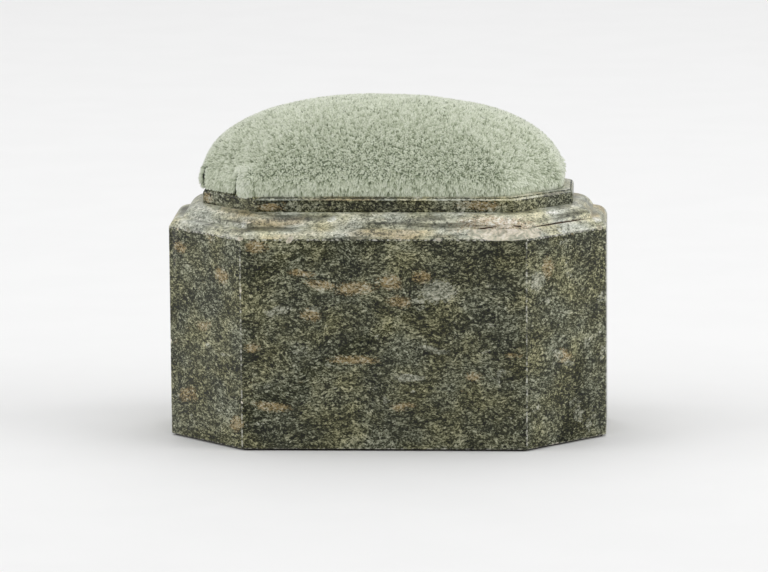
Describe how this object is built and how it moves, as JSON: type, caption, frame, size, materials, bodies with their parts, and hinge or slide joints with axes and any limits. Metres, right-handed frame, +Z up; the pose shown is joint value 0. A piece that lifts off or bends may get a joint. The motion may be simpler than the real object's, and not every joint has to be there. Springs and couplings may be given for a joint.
{
  "type": "pin cushion",
  "caption": "Heavy stone block with cut corners and a moulded shoulder, carrying a domed velvet cushion glued into its collar that holds sewing pins and needles.",
  "frame": {"origin": "middle of the underside of the felt, where the block stands on the table", "axes": "+Z up, +X along the block's length, and the front face looks towards -Y"},
  "size_m": [0.13, 0.074, 0.101],
  "materials": {
    "polished_stone": "polished dark grey-green foliated granite with tan and white grains",
    "dark_felt": "thin dark pressed felt",
    "hide_glue": "hard amber glue",
    "softwood": "sawn, unfinished softwood",
    "calico": "plain unbleached cotton",
    "tack_steel": "blued steel",
    "plush_velvet": "pale sage green plush velvet",
    "wool_stuffing": "packed raw wool"
  },
  "bodies": {
    "root": {"base_felt": "dark_felt", "stone_block": "polished_stone", "glue_bed": "hide_glue", "cushion_board": "softwood", "calico_lining": "calico", "lining_tacks": "tack_steel", "velvet_cover": "plush_velvet", "cover_tacks": "tack_steel", "stuffing": "wool_stuffing"}
  },
  "joints": []
}
